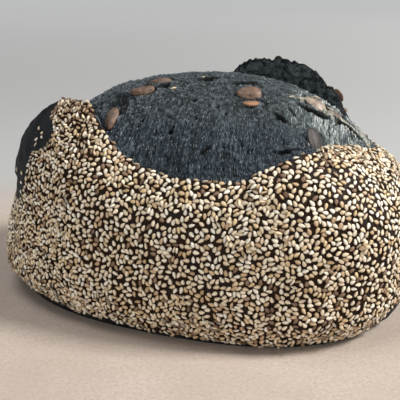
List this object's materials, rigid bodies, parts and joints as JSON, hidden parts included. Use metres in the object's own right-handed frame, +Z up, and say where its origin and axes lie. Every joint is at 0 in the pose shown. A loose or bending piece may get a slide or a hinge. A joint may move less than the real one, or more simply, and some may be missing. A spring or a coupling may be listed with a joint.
{
  "type": "sourdough loaf",
  "caption": "Whole oval black sourdough loaf with a sesame crust, slashed along its length, one raised ear and pumpkin seeds on the risen crumb.",
  "frame": {"origin": "on the flat underside, below the middle of the box round the whole loaf", "axes": "+X along the loaf's length, from the raised tongue towards the right shoulder; +Y from the low front lip towards the ear; +Z up"},
  "size_m": [0.2344, 0.158, 0.1256],
  "materials": {
    "bread": null,
    "pumpkin_kernel": null,
    "sesame": "matt sesame seed, cream to toasted, on the pieces of the coat that have no solids"
  },
  "bodies": {
    "root": {"loaf": "bread", "pumpkin_seed_1": "pumpkin_kernel", "pumpkin_seed_2": "pumpkin_kernel", "pumpkin_seed_3": "pumpkin_kernel", "pumpkin_seed_4": "pumpkin_kernel", "pumpkin_seed_5": "pumpkin_kernel", "pumpkin_seed_6": "pumpkin_kernel", "pumpkin_seed_7": "pumpkin_kernel", "pumpkin_seed_8": "pumpkin_kernel", "pumpkin_seed_9": "pumpkin_kernel", "pumpkin_seed_10": "pumpkin_kernel", "pumpkin_seed_11": "pumpkin_kernel", "pumpkin_seed_12": "pumpkin_kernel"}
  },
  "joints": []
}
